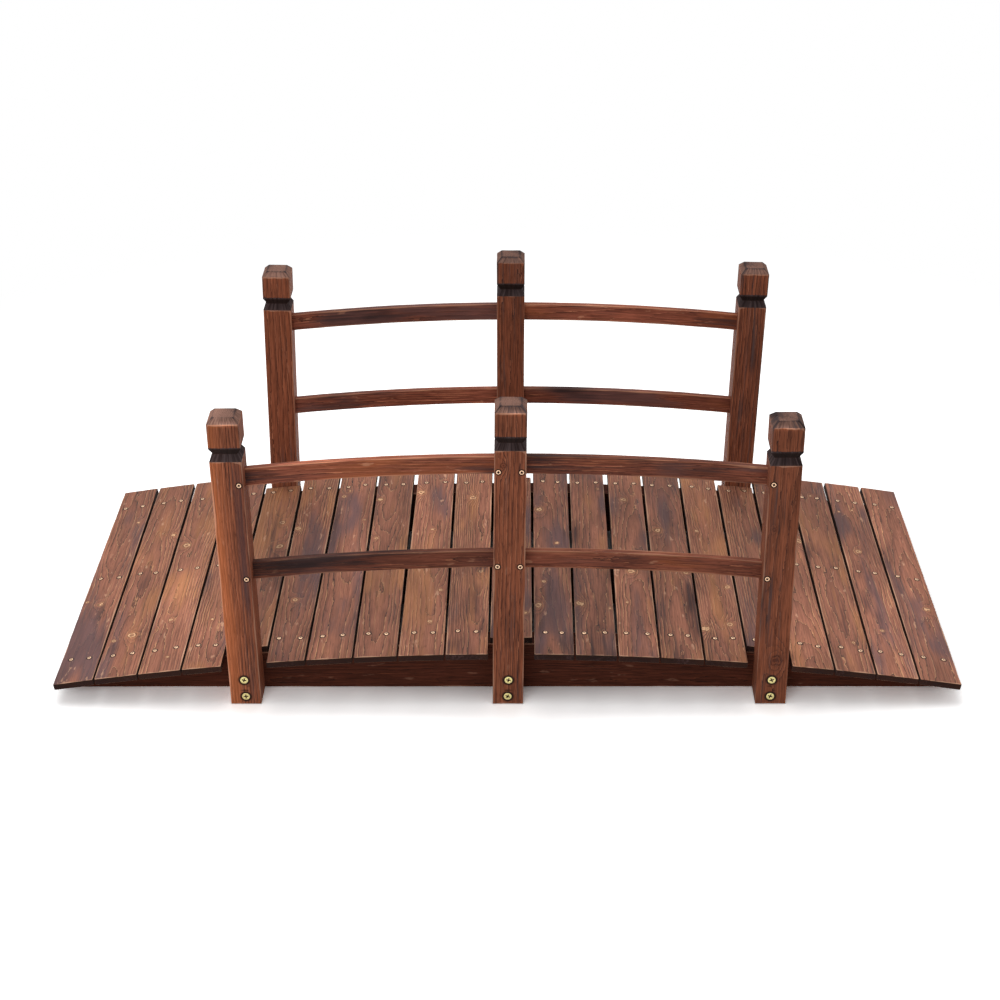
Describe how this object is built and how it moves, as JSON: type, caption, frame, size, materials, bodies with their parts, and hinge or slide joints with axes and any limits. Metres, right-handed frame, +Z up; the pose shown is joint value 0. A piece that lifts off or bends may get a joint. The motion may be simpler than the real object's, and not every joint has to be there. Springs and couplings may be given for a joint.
{
  "type": "garden moon bridge",
  "caption": "Low arched wooden garden bridge: plank deck on sawn stringers, square capped posts along both sides and arched rails let into them.",
  "frame": {"origin": "on the ground in the middle of the bridge, under the crown of the deck", "axes": "+X along the bridge, +Y across it to the far side, +Z up"},
  "size_m": [1.4996, 0.675, 0.5432],
  "materials": {
    "deck_board": "scorched and brushed fir, reddish brown with grey weathering",
    "stringer_wood": "scorched and stained fir, dark reddish brown",
    "post_wood": "scorched and stained fir, dark reddish brown with blackened bevels",
    "rail_wood": "scorched and stained fir, dark reddish brown with black burns",
    "fastener": "plated nail and screw heads"
  },
  "bodies": {
    "root": {"plank_01": "deck_board", "plank_02": "deck_board", "plank_03": "deck_board", "plank_04": "deck_board", "plank_05": "deck_board", "plank_06": "deck_board", "plank_07": "deck_board", "plank_08": "deck_board", "plank_09": "deck_board", "plank_10": "deck_board", "plank_11": "deck_board", "plank_12": "deck_board", "plank_13": "deck_board", "plank_14": "deck_board", "plank_15": "deck_board", "plank_16": "deck_board", "plank_17": "deck_board", "plank_18": "deck_board", "plank_19": "deck_board", "plank_20": "deck_board", "plank_21": "deck_board", "post_far_left": "post_wood", "post_far_middle": "post_wood", "post_far_right": "post_wood", "post_near_left": "post_wood", "post_near_middle": "post_wood", "post_near_right": "post_wood", "rail_far_left_lower": "rail_wood", "rail_far_left_upper": "rail_wood", "rail_far_right_lower": "rail_wood", "rail_far_right_upper": "rail_wood", "rail_near_left_lower": "rail_wood", "rail_near_left_upper": "rail_wood", "rail_near_right_lower": "rail_wood", "rail_near_right_upper": "rail_wood", "stringer_far": "stringer_wood", "stringer_middle": "stringer_wood", "stringer_near": "stringer_wood"}
  },
  "joints": []
}
